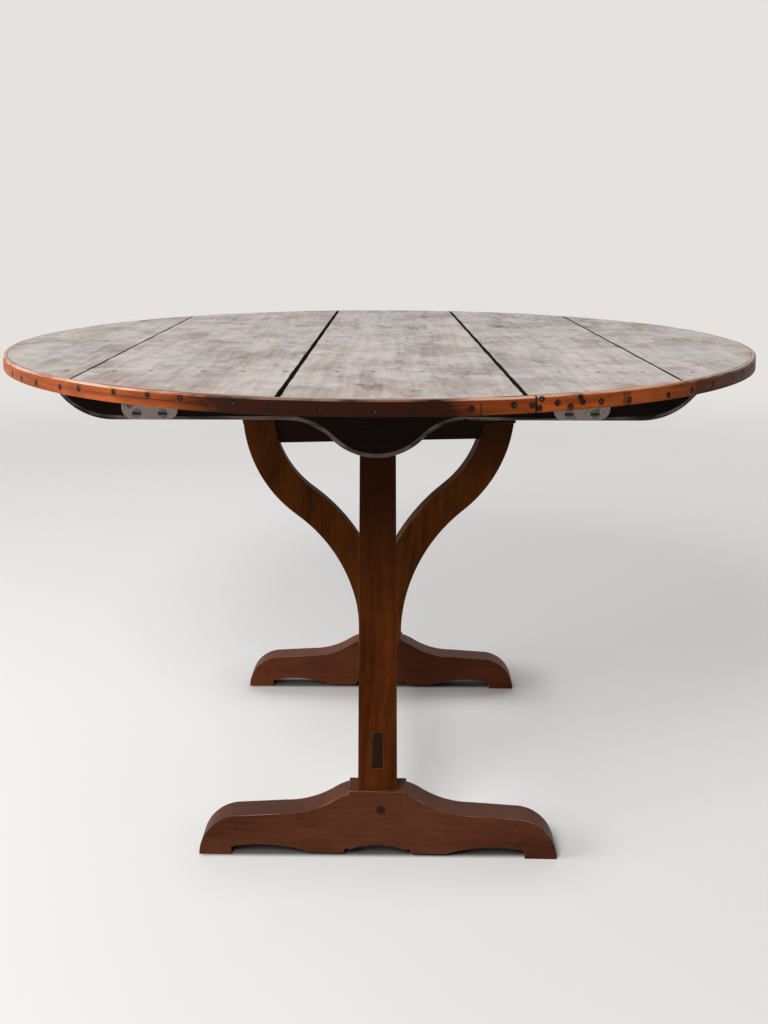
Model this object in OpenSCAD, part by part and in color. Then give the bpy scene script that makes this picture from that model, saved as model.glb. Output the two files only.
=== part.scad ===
// Round tilt-top table on a trestle base, with a swinging lyre that locks the top level.
// Origin on the floor under the middle of the top, +Z up, near side at -Y, millimetres.

/* [Top] */
// Height of the table above the floor
table_h = 728; // [700:1:760]
// Diameter of the top over its edge band
top_dia = 1190; // [1160:5:1220]
// Thickness of the boards
board_t = 20; // [16:1:26]
// Place of each board joint along X, on the middle line
joint_x = [-390, -105, 161, 381]; // [-450:1:450]
// Lean of each board joint, as its X shift at the far edge
joint_lean = [-7, 6, -12, -2]; // [-15:1:15]
// Open width of each board joint
joint_gap = [2, 5, 4, 2]; // [1:0.5:8]
// Thickness of the bent edge band
band_t = 6; // [4:0.5:10]
// Compass angle of the butt joint in the edge band
band_joint_angle = -72; // [-85:1:-60]
// Width of the butt joint in the edge band
band_joint_gap = 1; // [0.5:0.5:3]

/* [Shaped battens] */
// Thickness of the near and far battens
batten_t = 28; // [24:1:36]
// Distance of the near and far battens' middle planes from the middle of the top
batten_y = 374; // [350:1:390]
// Depth of the shaped battens under the boards
batten_depth = 44; // [38:1:52]
// Half length of a shaped batten's straight lower edge
batten_flat = 349; // [300:1:360]
// Radius of a shaped batten's rounded ends
batten_end_r = 90; // [70:1:95]
// How far the pivot lobe hangs below the batten's lower edge
lobe_drop = 51; // [46:1:60]
// Half width of the pivot lobe, where its curve begins
lobe_half_w = 122; // [100:1:140]

/* [Middle batten and rest blocks] */
// Width of the middle batten
middle_w = 80; // [74:1:110]
// Thickness of the middle batten
middle_t = 27; // [20:1:30]
// Half length of the middle batten
middle_half = 560; // [450:1:575]
// Bevel on the ends of the middle batten
middle_bevel = 14; // [5:1:20]
// Width of a rest block along the middle batten
block_w = 62; // [50:1:66]
// Thickness of a rest block
block_t = 31; // [26:1:32]

/* [Angle plates] */
// Length of an angle plate along the batten
plate_w = 74; // [60:1:90]
// Height of an angle plate's upright leg
plate_h = 42; // [30:1:44]
// Length of an angle plate's flat leg
plate_leg = 40; // [30:1:50]
// Thickness of the plate metal
plate_t = 2; // [1.5:0.5:3]
// Middle of each angle plate along X
plate_x = [-299, 269]; // [-330:1:330]
// Size of the clipped lower corners
plate_clip = 6; // [3:1:10]

/* [Feet] */
// Length of a foot
foot_len = 521; // [480:1:560]
// Thickness of a foot
foot_t = 39; // [34:1:50]
// Distance of the feet's middle planes from the middle of the table
foot_y = 281; // [272:1:292]
// Height of the raised pad under the post
pad_h = 100; // [94:1:110]
// Half width of the raised pad
pad_half = 41; // [36:1:48]
// Height of the foot's long arms where they meet the swelling
arm_h = 65; // [58:1:70]
// Radius of the rounded foot ends
foot_end_r = 60; // [50:1:62]
// Length of floor contact at each end
heel_len = 47; // [36:1:60]
// Height of the side arches
side_arch_h = 20; // [14:1:24]
// Radius of the side arches
side_arch_r = 195; // [150:5:240]
// Distance from a heel to the crown of its side arch
side_arch_in = 53; // [45:1:60]
// Height of the middle arch
mid_arch_h = 18; // [12:1:24]
// Radius of the middle arch
mid_arch_r = 109; // [80:1:130]
// Height of the shallow relief between the heels
relief_h = 5; // [3:1:7]
// Length of the swelling from the arm up to the pad
swell_run = 87; // [70:1:100]

/* [Posts] */
// Width of a post at its foot
post_foot_w = 57; // [50:1:60]
// Width of a post at the beam
post_top_w = 51; // [44:1:54]
// Thickness of a post
post_t = 28; // [24:1:32]

/* [Rails] */
// Height of the stretcher's lower edge above the floor
stretcher_z = 118; // [112:1:128]
// Height of the stretcher
stretcher_h = 85; // [80:1:95]
// Thickness of the stretcher
stretcher_t = 30; // [26:1:34]
// Height of the stretcher's through tenons
through_h = 55; // [45:1:60]
// Thickness of the stretcher's through tenons
through_t = 16; // [12:1:18]
// Side of the square beam
beam_w = 46; // [42:1:48]
// Distance of the pivot axis below the boards
pivot_drop = 67; // [64:1:70]
// Radius of the beam's turned ends
pivot_r = 13; // [10:0.5:14]
// Distance that each turned end goes into its batten
pivot_depth = 20; // [16:1:22]

/* [Lyre] */
// Half width of the lyre over its arms
lyre_half = 229; // [215:1:233]
// Width of an arm
arm_w = 51; // [44:1:54]
// Thickness of the lyre
lyre_t = 30; // [26:1:32]
// Half width of the stem above the stretcher
stem_half = 35; // [30:1:38]
// Height of the stem's straight foot
stem_h = 15; // [10:1:20]
// Height of the rail between the arms
rail_h = 47; // [40:1:50]
// Thickness of the rail
rail_t = 20; // [18:1:26]
// Distance from the top of the arms down to the top of the rail
rail_drop = 10; // [8:1:14]
// Radius of the arms' rounded outer shoulders
shoulder_r = 30; // [20:1:34]
// Turn of the lyre away from square, as it stands locked
lyre_turn = 6; // [4:0.5:8]
// Radius of the iron pivot pins
pin_r = 6; // [5:0.5:7]
// Length that a pivot pin has in each of the two pieces it joins
pin_hold = 28; // [20:1:32]
// Radius of the washer under the stem
washer_r = 22; // [18:1:30]
// Thickness of the washer under the stem
washer_t = 2; // [1:0.5:3]
// Gap between the top of the arms and the beam
beam_clear = 3; // [2:0.5:5]

/* [Joinery] */
// Thickness of the hidden tenons
tenon_t = 12; // [8:1:14]
// Length of the hidden tenons
tenon_len = 30; // [20:1:34]
// Length of the post tenons in the feet
foot_tenon_len = 62; // [50:1:70]
// Radius of the wooden pegs
peg_r = 4; // [3:0.5:5]
// Clearance round tenons, pegs and nails
fit_gap = 0.1; // [0.05:0.05:0.2]
// Radial clearance of the pivots
running_gap = 0.1; // [0.05:0.01:0.1]
// Clearance between the rest blocks and the lyre
rest_gap = 0.4; // [0.3:0.1:0.8]

/* [Nails and screws] */
// Radius of the top nails' heads
nail_head_r = 3; // [2:0.25:4]
// Radius of the nail shanks
nail_r = 1.5; // [1:0.25:2]
// Length of a top nail
nail_len = 38; // [30:1:42]
// Mean distance between nails along the shaped battens
nail_step = 58; // [45:1:90]
// Mean distance between nails along each row of the middle batten
middle_nail_step = 86; // [70:1:120]
// Distance of each row of middle nails from the batten's middle line
middle_row = 24; // [15:1:30]
// Number of nails round the edge band
band_nail_count = 68; // [40:1:80]
// Length of a band nail
band_nail_len = 22; // [16:1:30]
// Radius of a screw head
screw_head_r = 4; // [3:0.5:5]
// Length of a screw
screw_len = 16; // [12:1:18]

/* [Hidden] */
$fn = 96;
eps = 1;

// Colours
board_colour = "#6b5044";
band_colour = "#8a3f1c";
batten_colour = "#2c1712";
lyre_colour = "#5a2e14";
post_colour = "#4f2818";
foot_colour = "#4a2019";
iron_colour = "#3a3634";
plate_colour = "#8b8781";
peg_colour = "#2a1611";

// Levels
under_z = table_h - board_t;
batten_low_z = under_z - batten_depth;
middle_low_z = under_z - middle_t;
pivot_z = under_z - pivot_drop;
beam_low_z = pivot_z - beam_w / 2;
stretcher_top_z = stretcher_z + stretcher_h;
through_mid_z = stretcher_z + stretcher_h / 2;
// Edge of the boards inside the band
board_r = top_dia / 2 - band_t;
// Inner face of the shaped battens, and the pivot tips in them
batten_in_y = batten_y - batten_t / 2;
pivot_tip_y = batten_in_y + pivot_depth;
post_in_y = foot_y - post_t / 2;
post_out_y = foot_y + post_t / 2;
// The beam's square part stops short of the battens
beam_overhang = 14;
beam_half = post_out_y + beam_overhang;

// Lyre geometry: each arm is an S of two arcs with the same turn
lyre_foot_z = stretcher_top_z + washer_t;
lyre_top_z = beam_low_z - beam_clear;
rail_top_z = lyre_top_z - rail_drop;
rail_low_z = rail_top_z - rail_h;
stem_top_z = lyre_foot_z + stem_h;
s_top_z = lyre_top_z - 2;
s_rise = s_top_z - stem_top_z;
s_run = lyre_half - stem_half;
s_turn = 2 * atan(s_run / s_rise);
s_radii = s_rise / sin(s_turn);
// Steps along each arc, and the stem's slight taper at its foot
arc_steps = 24;
stem_taper = 3;
upper_share = 0.4;
upper_r = upper_share * s_radii;
lower_r = s_radii - upper_r;
// Centres of the upper and lower arcs, taken on the arm's middle line
upper_c = [lyre_half - arm_w / 2 - upper_r, s_top_z];
lower_c = [stem_half - arm_w / 2 + lower_r, stem_top_z];

// Rail tenons: shallow, so that their mortises stay under the arms' bevels
rail_tenon_h = rail_h / 2 - 2;
rail_tenon_z = rail_low_z + 4;
rail_end_x = upper_c[0] + upper_r - arm_w / 2;

// Stem pegs: heights above the stem's foot, and the cover of wood over their ends
stem_peg_ups = [50, 85];
stem_peg_cover = 5;

// Rest blocks: their faces lie along the bevelled tops of the arms
block_mid_x = lyre_half - arm_w / 2 - 4;
block_flare = 14;

// Foot: the shoulder drops a little below the pad, and a quirk is cut beside the middle arch
pad_step = 4;
quirk_r = 4;
quirk_z = 8;
quirk_out = 3;

// Foot swelling: a concave and a convex arc of one radius
swell_start = pad_half + swell_run - 16;
swell_rise = pad_h - pad_step - arm_h;
swell_r = (swell_run * swell_run / swell_rise + swell_rise) / 4;

// Cheeks left on each side of a post's tenon, and the foot pegs' place
post_shoulder = 10;
foot_peg_x = 5;
foot_peg_drop = 28;

// Angle plates: the outer face of the near batten, and the screws' distances from the edges
batten_face_y = -batten_y - batten_t / 2;
plate_screw_up = 11;
plate_screw_out = 12;
screw_r = nail_r + 0.5;

// Heads of the nails
head_t = 1.4;
band_head_r = nail_head_r - 0.6;
// Distance of the outermost nails past the battens' straight edges, and from the middle batten's ends
nail_past = 62;
nail_end = 20;
nail_far_end = 58;

// Hand spacing: small fixed shifts, so that nails look placed by eye
function by_hand(i, amount) = amount * sin(137 * i);

// How much wider than its nail, peg or tenon a hole is cut at an open face
function over(gap) = gap > 0 ? eps : 0;

// Points of an arc that starts at angle a0 and would end at a1 after all its steps
function arc(centre, r, a0, a1, last = arc_steps) =
    [for (i = [0 : last]) let (a = a0 + (a1 - a0) * i / arc_steps) centre + r * [cos(a), sin(a)]];

// X of board joint i at depth y
function joint_at(i, y) = joint_x[i] + joint_lean[i] * y / board_r;

// Copies a shape to the near and far side by mirroring
module near_and_far() {
    children();
    mirror([0, 1, 0]) children();
}

// Copies a shape to the left and right side by mirroring
module left_and_right() {
    children();
    mirror([1, 0, 0]) children();
}

// Stands an XZ outline up, with its thickness t centred on depth y
module upright(y, t) {
    translate([0, y + t / 2, 0]) rotate([90, 0, 0]) linear_extrude(height = t) children();
}

// Rod of radius r from depth y0 to y1
module rod_y(x, z, r, y0, y1) {
    translate([x, y1, z]) rotate([90, 0, 0]) cylinder(r = r, h = y1 - y0, $fn = 48);
}

// Nails

// Places of the top nails; each row has its Y, its step, its half length and the start of its hand spacing
module nail_rows() {
    rows = [[-batten_y, nail_step, batten_flat + nail_past, 0],
            [batten_y, nail_step, batten_flat + nail_past, 5],
            [-middle_row, middle_nail_step, middle_half - nail_end, 11],
            [middle_row, middle_nail_step, middle_half - nail_far_end, 23]];
    for (row = rows) {
        count = floor(2 * row[2] / row[1]);
        for (i = [0 : count]) {
            x = -row[2] + 2 * row[2] * i / count + by_hand(i + row[3], 6);
            if (min([for (k = [0 : 3]) abs(x - joint_at(k, row[0])) - joint_gap[k] / 2]) > nail_head_r + 2)
                translate([x, row[0] + by_hand(3 * i + row[3], 2), table_h]) children();
        }
    }
}

module top_nail(gap = 0) {
    translate([0, 0, -head_t - gap])
        cylinder(r = nail_head_r + gap, h = head_t + gap + over(gap), $fn = 24);
    translate([0, 0, -nail_len - gap]) cylinder(r = nail_r + gap, h = nail_len, $fn = 24);
}

module band_nail_places() {
    for (i = [0 : band_nail_count - 1]) {
        a = band_joint_angle + 360 * (i + 0.5) / band_nail_count + by_hand(i, 0.7);
        z = table_h - board_t / 2 + by_hand(5 * i, board_t / 5);
        rotate([0, 0, a]) translate([top_dia / 2, 0, z]) rotate([0, -90, 0]) children();
    }
}

module band_nail(gap = 0) {
    translate([0, 0, -over(gap)])
        cylinder(r = band_head_r + gap, h = band_nail_len + gap + over(gap), $fn = 24);
}

module top_nails() {
    color(iron_colour) nail_rows() top_nail();
}

module band_nails() {
    color(iron_colour) band_nail_places() band_nail();
}

// Top

module board(index) {
    reach = board_r + eps;
    left = function (y) index == 0 ? -reach : joint_at(index - 1, y) + joint_gap[index - 1] / 2;
    right = function (y) index == 4 ? reach : joint_at(index, y) - joint_gap[index] / 2;
    color(board_colour) difference() {
        translate([0, 0, under_z]) intersection() {
            cylinder(r = board_r - fit_gap, h = board_t, $fn = 360);
            linear_extrude(height = board_t)
                polygon([[left(-reach), -reach], [right(-reach), -reach],
                         [right(reach), reach], [left(reach), reach]]);
        }
        nail_rows() top_nail(fit_gap);
        band_nail_places() band_nail(fit_gap);
        plate_screw_places() plate_screw(fit_gap);
    }
}

module edge_band() {
    color(band_colour) difference() {
        translate([0, 0, under_z]) cylinder(r = top_dia / 2, h = board_t, $fn = 360);
        translate([0, 0, under_z - eps]) cylinder(r = board_r, h = board_t + 2 * eps, $fn = 360);
        rotate([0, 0, band_joint_angle]) translate([board_r - eps, -band_joint_gap / 2, under_z - eps])
            cube([band_t + 2 * eps, band_joint_gap, board_t + 2 * eps]);
        band_nail_places() band_nail(fit_gap);
    }
}

// Outline of a shaped batten: straight edge, rounded ends and the pivot lobe
module batten_outline() {
    half = batten_flat + batten_end_r;
    lobe_r = (lobe_half_w * lobe_half_w / lobe_drop + lobe_drop) / 4;
    difference() {
        translate([-half, batten_low_z]) square([2 * half, batten_depth]);
        left_and_right() translate([batten_flat, batten_low_z]) difference() {
            translate([0, -eps]) square([batten_end_r + eps, batten_end_r + eps]);
            translate([0, batten_end_r]) circle(r = batten_end_r, $fn = 180);
        }
    }
    translate([0, batten_low_z]) difference() {
        union() {
            translate([-lobe_half_w, -lobe_drop / 2]) square([2 * lobe_half_w, lobe_drop / 2 + eps]);
            intersection() {
                translate([0, lobe_r - lobe_drop]) circle(r = lobe_r, $fn = 180);
                translate([-lobe_half_w, -lobe_drop]) square([2 * lobe_half_w, lobe_drop / 2 + eps]);
            }
        }
        left_and_right() translate([lobe_half_w, -lobe_r]) circle(r = lobe_r, $fn = 180);
    }
}

// Shaped batten on the far side; the near one is its mirror image
module shaped_batten() {
    difference() {
        upright(batten_y, batten_t) batten_outline();
        rod_y(0, pivot_z, pivot_r + running_gap, batten_in_y - eps, pivot_tip_y + 1);
    }
}

module near_batten() {
    color(batten_colour) difference() {
        mirror([0, 1, 0]) shaped_batten();
        nail_rows() top_nail(fit_gap);
        plate_screw_places() plate_screw(fit_gap);
    }
}

module far_batten() {
    color(batten_colour) difference() {
        shaped_batten();
        nail_rows() top_nail(fit_gap);
    }
}

module middle_batten() {
    color(batten_colour) difference() {
        upright(0, middle_w)
            polygon([[-middle_half, under_z], [middle_half, under_z],
                     [middle_half, middle_low_z + middle_bevel],
                     [middle_half - middle_bevel, middle_low_z],
                     [-middle_half + middle_bevel, middle_low_z],
                     [-middle_half, middle_low_z + middle_bevel]]);
        nail_rows() top_nail(fit_gap);
    }
}

// Half space above the bevelled top of the right arm, raised by gap, in the lyre's own frame
module above_bevel(gap) {
    translate([0, 0, lyre_top_z - lyre_t / 2 + gap]) rotate([45, 0, 0])
        translate([0, -lyre_half, 0]) cube([2 * lyre_half, 2 * lyre_half, lyre_half]);
}

module rest_block() {
    left_x = block_mid_x - block_w / 2;
    right_x = block_mid_x + block_w / 2;
    low_z = lyre_top_z - lyre_t;
    intersection() {
        rotate([0, 0, lyre_turn]) above_bevel(rest_gap * sqrt(2));
        upright(block_mid_x * sin(lyre_turn) + 0.5, block_t)
            polygon([[left_x, low_z], [right_x, low_z], [right_x, pivot_z],
                     [right_x + block_flare, middle_low_z], [left_x - block_flare, middle_low_z],
                     [left_x, pivot_z]]);
    }
}

module rest_blocks() {
    color(batten_colour) {
        rest_block();
        rotate([0, 0, 180]) rest_block();
    }
}

// Angle plates on the near batten's outer face

module angle_plate() {
    low_z = under_z - plate_h;
    half = plate_w / 2;
    difference() {
        union() {
            upright(batten_face_y - plate_t / 2, plate_t)
                polygon([[-half, under_z], [half, under_z], [half, low_z + plate_clip],
                         [half - plate_clip, low_z], [-half + plate_clip, low_z],
                         [-half, low_z + plate_clip]]);
            translate([-half, batten_face_y - plate_leg, under_z - plate_t])
                cube([plate_w, plate_leg, plate_t]);
        }
        plate_holes() plate_screw(fit_gap);
    }
}

// The four screws of one plate: two into the batten and two up into the boards
module plate_holes() {
    for (side = [-1, 1]) translate([side * plate_w / 4, batten_face_y, under_z]) {
        translate([0, -plate_t, plate_screw_up - plate_h]) rotate([-90, 0, 0]) children();
        translate([0, plate_screw_out - plate_leg, -plate_t]) children();
    }
}

module plate_screw_places() {
    for (x = plate_x) translate([x, 0, 0]) plate_holes() children();
}

// Screw along +Z with its countersunk head flush with the plate
module plate_screw(gap = 0) {
    translate([0, 0, -gap])
        cylinder(r1 = screw_head_r + gap, r2 = screw_r + gap, h = plate_t - 0.4 + gap, $fn = 32);
    cylinder(r = screw_r + gap, h = screw_len + gap, $fn = 32);
}

module angle_plates() {
    color(plate_colour) for (x = plate_x) translate([x, 0, 0]) angle_plate();
}

module plate_screws() {
    color(iron_colour) plate_screw_places() plate_screw();
}

// Base

module foot_outline() {
    half = foot_len / 2;
    difference() {
        union() {
            // Sloping arm with its rounded end
            left_and_right() {
                translate([half - foot_end_r, 0]) intersection() {
                    circle(r = foot_end_r, $fn = 180);
                    translate([-eps, 0]) square([foot_end_r + eps, foot_end_r + eps]);
                }
                polygon([[0, 0], [half - foot_end_r, 0], [half - foot_end_r, foot_end_r],
                         [swell_start, arm_h], [0, arm_h]]);
                // Swelling up to the pad
                difference() {
                    translate([0, arm_h - eps]) square([swell_start, swell_rise / 2 + eps]);
                    translate([swell_start, arm_h + swell_r]) circle(r = swell_r, $fn = 180);
                }
                intersection() {
                    translate([swell_start - swell_run, arm_h + swell_rise - swell_r])
                        circle(r = swell_r, $fn = 180);
                    translate([0, arm_h + swell_rise / 2 - eps]) square([swell_start, swell_rise]);
                }
                translate([0, arm_h]) square([swell_start - swell_run + eps, swell_rise]);
            }
            translate([-pad_half, arm_h]) square([2 * pad_half, pad_h - arm_h]);
        }
        foot_underside();
    }
}

// Arches and relief under a foot
module foot_underside() {
    inner = foot_len / 2 - heel_len;
    left_and_right() {
        intersection() {
            translate([inner - side_arch_in, side_arch_h - side_arch_r]) circle(r = side_arch_r, $fn = 180);
            translate([0, -eps]) square([inner, side_arch_h + 2 * eps]);
        }
        translate([0, -eps]) square([inner, relief_h + eps]);
        translate([pad_half + quirk_out, quirk_z]) circle(r = quirk_r, $fn = 32);
    }
    translate([0, mid_arch_h - mid_arch_r]) circle(r = mid_arch_r, $fn = 180);
}

// Tenon of the far post in its foot, or its mortise
module foot_tenon(gap = 0) {
    half = post_foot_w / 2 - post_shoulder + gap;
    translate([-half, foot_y - tenon_t / 2 - gap, pad_h - foot_tenon_len - gap])
        cube([2 * half, tenon_t + 2 * gap, foot_tenon_len + gap + eps]);
}

// Tenon of the far post in the beam, or its mortise
module beam_tenon(gap = 0) {
    translate([-tenon_len / 2 - gap, foot_y - tenon_t / 2 - gap, beam_low_z - eps])
        cube([tenon_len + 2 * gap, tenon_t + 2 * gap, tenon_len + gap + eps]);
}

// Peg through the far foot and its tenon, or its hole
module foot_peg(gap = 0) {
    half = foot_t / 2 + over(gap);
    rod_y(foot_peg_x, pad_h - foot_peg_drop, peg_r + gap, foot_y - half, foot_y + half);
}

// Peg through the beam and the far post's upper tenon, or its hole
module beam_peg(gap = 0) {
    half = beam_w / 2 + over(gap);
    translate([-half, foot_y, beam_low_z + tenon_len / 2]) rotate([0, 90, 0])
        cylinder(r = peg_r + gap, h = 2 * half, $fn = 48);
}

module far_foot_solid() {
    difference() {
        upright(foot_y, foot_t) foot_outline();
        foot_tenon(fit_gap);
        foot_peg(fit_gap);
    }
}

module far_foot() {
    color(foot_colour) far_foot_solid();
}

module near_foot() {
    color(foot_colour) mirror([0, 1, 0]) far_foot_solid();
}

// Through tenons of the stretcher, or their mortises
module through_tenon(gap = 0) {
    translate([-through_t / 2 - gap, post_in_y - eps, through_mid_z - through_h / 2 - gap])
        cube([through_t + 2 * gap, post_t + eps + over(gap), through_h + 2 * gap]);
}

module far_post_solid() {
    difference() {
        union() {
            upright(foot_y, post_t)
                polygon([[-post_foot_w / 2, pad_h], [post_foot_w / 2, pad_h],
                         [post_top_w / 2, beam_low_z], [-post_top_w / 2, beam_low_z]]);
            foot_tenon();
            beam_tenon();
        }
        through_tenon(fit_gap);
        foot_peg(fit_gap);
        beam_peg(fit_gap);
    }
}

module far_post() {
    color(post_colour) far_post_solid();
}

module near_post() {
    color(post_colour) mirror([0, 1, 0]) far_post_solid();
}

module stretcher() {
    color(post_colour) difference() {
        union() {
            translate([-stretcher_t / 2, -post_in_y, stretcher_z])
                cube([stretcher_t, 2 * post_in_y, stretcher_h]);
            near_and_far() through_tenon();
        }
        translate([0, 0, stretcher_top_z - pin_hold - 1])
            cylinder(r = pin_r + running_gap, h = pin_hold + 1 + eps, $fn = 48);
    }
}

module beam() {
    color(post_colour) difference() {
        union() {
            translate([-beam_w / 2, -beam_half, beam_low_z]) cube([beam_w, 2 * beam_half, beam_w]);
            rod_y(0, pivot_z, pivot_r, -pivot_tip_y, pivot_tip_y);
        }
        near_and_far() {
            beam_tenon(fit_gap);
            beam_peg(fit_gap);
        }
        translate([0, 0, beam_low_z - eps])
            cylinder(r = pin_r + running_gap, h = pin_hold + 1 + eps, $fn = 48);
    }
}

module foot_pegs() {
    color(peg_colour) near_and_far() foot_peg();
}

module beam_pegs() {
    color(peg_colour) near_and_far() beam_peg();
}

// Lyre, modelled square to the beam and then turned

module arm_outline() {
    outer = concat(arc(lower_c, lower_r - arm_w / 2, 180, 180 - s_turn, arc_steps - 1),
                   arc(upper_c, upper_r + arm_w / 2, -s_turn, 2));
    inner = concat(arc(upper_c, upper_r - arm_w / 2, 2, -s_turn, arc_steps - 1),
                   arc(lower_c, lower_r + arm_w / 2, 180 - s_turn, 180));
    difference() {
        polygon(concat([[0, lyre_foot_z], [stem_half - stem_taper, lyre_foot_z]], outer, inner));
        translate([-arm_w, 0]) square([arm_w, table_h]);
        // Rounded outer shoulder
        translate([lyre_half - shoulder_r, lyre_top_z - shoulder_r]) difference() {
            square([shoulder_r + eps, shoulder_r + 40]);
            circle(r = shoulder_r, $fn = 96);
        }
    }
}

module arm_solid() {
    difference() {
        upright(0, lyre_t) arm_outline();
        above_bevel(0);
        rail_tenon(fit_gap);
        rail_peg(fit_gap);
        stem_pegs(fit_gap);
        translate([0, 0, lyre_foot_z - eps])
            cylinder(r = pin_r + fit_gap, h = pin_hold + fit_gap + eps, $fn = 48);
    }
}

module lyre_right_arm() {
    color(lyre_colour) rotate([0, 0, lyre_turn]) arm_solid();
}

module lyre_left_arm() {
    color(lyre_colour) rotate([0, 0, lyre_turn + 180]) arm_solid();
}

// Tenon of the rail in the right arm, or its mortise
module rail_tenon(gap = 0) {
    translate([0, -tenon_t / 2 - gap, rail_tenon_z - gap])
        cube([rail_end_x + tenon_len + gap, tenon_t + 2 * gap, rail_tenon_h + 2 * gap]);
}

// Peg through the right arm and the rail's tenon, or its hole
module rail_peg(gap = 0) {
    half = lyre_t / 2 + over(gap);
    rod_y(rail_end_x + tenon_len / 2, rail_tenon_z + rail_tenon_h / 2, peg_r + gap, -half, half);
}

// Pegs across the two halves of the stem, or their holes
module stem_pegs(gap = 0) {
    half = stem_half - stem_peg_cover + gap;
    for (up = stem_peg_ups) translate([-half, 0, lyre_foot_z + up]) rotate([0, 90, 0])
        cylinder(r = peg_r + gap, h = 2 * half, $fn = 48);
}

module lyre_rail() {
    color(lyre_colour) rotate([0, 0, lyre_turn]) difference() {
        union() {
            upright(0, rail_t) intersection() {
                translate([-lyre_half, rail_low_z]) square([2 * lyre_half, rail_h]);
                translate(upper_c) circle(r = upper_r - arm_w / 2 - fit_gap, $fn = 180);
                mirror([1, 0]) translate(upper_c) circle(r = upper_r - arm_w / 2 - fit_gap, $fn = 180);
            }
            left_and_right() rail_tenon();
        }
        left_and_right() rail_peg(fit_gap);
        translate([0, 0, rail_top_z - pin_hold - fit_gap])
            cylinder(r = pin_r + fit_gap, h = pin_hold + fit_gap + eps, $fn = 48);
    }
}

module lyre_pegs() {
    color(peg_colour) rotate([0, 0, lyre_turn]) {
        left_and_right() rail_peg();
        stem_pegs();
    }
}

module lower_pin() {
    color(iron_colour) translate([0, 0, stretcher_top_z - pin_hold])
        cylinder(r = pin_r, h = 2 * pin_hold + washer_t, $fn = 48);
}

module upper_pin() {
    color(iron_colour) translate([0, 0, rail_top_z - pin_hold])
        cylinder(r = pin_r, h = 2 * pin_hold + beam_low_z - rail_top_z, $fn = 48);
}

module pivot_washer() {
    color(iron_colour) translate([0, 0, stretcher_top_z]) difference() {
        cylinder(r = washer_r, h = washer_t);
        translate([0, 0, -eps]) cylinder(r = pin_r + fit_gap, h = washer_t + 2 * eps, $fn = 48);
    }
}

board(0);  // board_1
board(1);  // board_2
board(2);  // board_3
board(3);  // board_4
board(4);  // board_5
edge_band();
near_batten();
middle_batten();
far_batten();
rest_blocks();
angle_plates();
plate_screws();
top_nails();
band_nails();
near_foot();
far_foot();
near_post();
far_post();
stretcher();
beam();
foot_pegs();
beam_pegs();
lyre_left_arm();
lyre_right_arm();
lyre_rail();
lyre_pegs();
lower_pin();
upper_pin();
pivot_washer();
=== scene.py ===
# Finishes, worn edges, nails and studio of the round tilt-top table
import math
import random

import bmesh
import bpy
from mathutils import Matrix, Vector, kdtree


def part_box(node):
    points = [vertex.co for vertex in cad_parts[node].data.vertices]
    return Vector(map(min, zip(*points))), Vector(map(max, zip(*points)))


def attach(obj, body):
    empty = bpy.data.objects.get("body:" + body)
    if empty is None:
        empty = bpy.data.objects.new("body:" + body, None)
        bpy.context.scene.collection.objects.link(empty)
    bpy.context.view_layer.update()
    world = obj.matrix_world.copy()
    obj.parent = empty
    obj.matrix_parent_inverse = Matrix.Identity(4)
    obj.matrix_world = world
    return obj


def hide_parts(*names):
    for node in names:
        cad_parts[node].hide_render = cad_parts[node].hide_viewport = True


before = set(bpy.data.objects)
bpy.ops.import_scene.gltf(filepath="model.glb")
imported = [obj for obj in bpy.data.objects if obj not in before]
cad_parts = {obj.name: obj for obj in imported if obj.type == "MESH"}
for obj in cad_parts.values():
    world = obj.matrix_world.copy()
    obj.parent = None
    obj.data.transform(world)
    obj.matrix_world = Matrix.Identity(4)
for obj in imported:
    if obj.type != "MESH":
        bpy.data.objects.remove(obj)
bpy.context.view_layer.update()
bpy.ops.object.select_all(action="DESELECT")
print("frame loaded,", len(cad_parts), "nodes")

mm = 0.001
dice = random.Random(7)
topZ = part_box("board_3")[1].z
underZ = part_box("board_3")[0].z
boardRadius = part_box("board_5")[1].x
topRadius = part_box("edge_band")[1].x


# a socket of a material, with arithmetic
class Wire:
    def __init__(self, finish, socket):
        self.finish = finish
        self.socket = socket

    def maths(self, operation, first, second=0.0):
        return self.finish.node("ShaderNodeMath", {"operation": operation}, {0: first, 1: second})

    def __add__(self, other):
        return self.maths("ADD", self, other)

    def __radd__(self, other):
        return self.maths("ADD", other, self)

    def __sub__(self, other):
        return self.maths("SUBTRACT", self, other)

    def __rsub__(self, other):
        return self.maths("SUBTRACT", other, self)

    def __mul__(self, other):
        return self.maths("MULTIPLY", self, other)

    def __rmul__(self, other):
        return self.maths("MULTIPLY", other, self)

    def __gt__(self, other):
        return self.maths("GREATER_THAN", self, other)

    def __lt__(self, other):
        return self.maths("LESS_THAN", self, other)

    def size(self):
        return self.maths("ABSOLUTE", self)

    def most(self, other):
        return self.maths("MAXIMUM", self, other)

    # 0 below low, 1 above high, and soft in between
    def between(self, low, high):
        return self.finish.node("ShaderNodeMapRange", {"interpolation_type": "SMOOTHSTEP"},
                                {"Value": self, "From Min": low, "From Max": high})

    # 1 from low to high, and 0 elsewhere
    def within(self, low, high):
        return (self > low) * (self < high)


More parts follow.
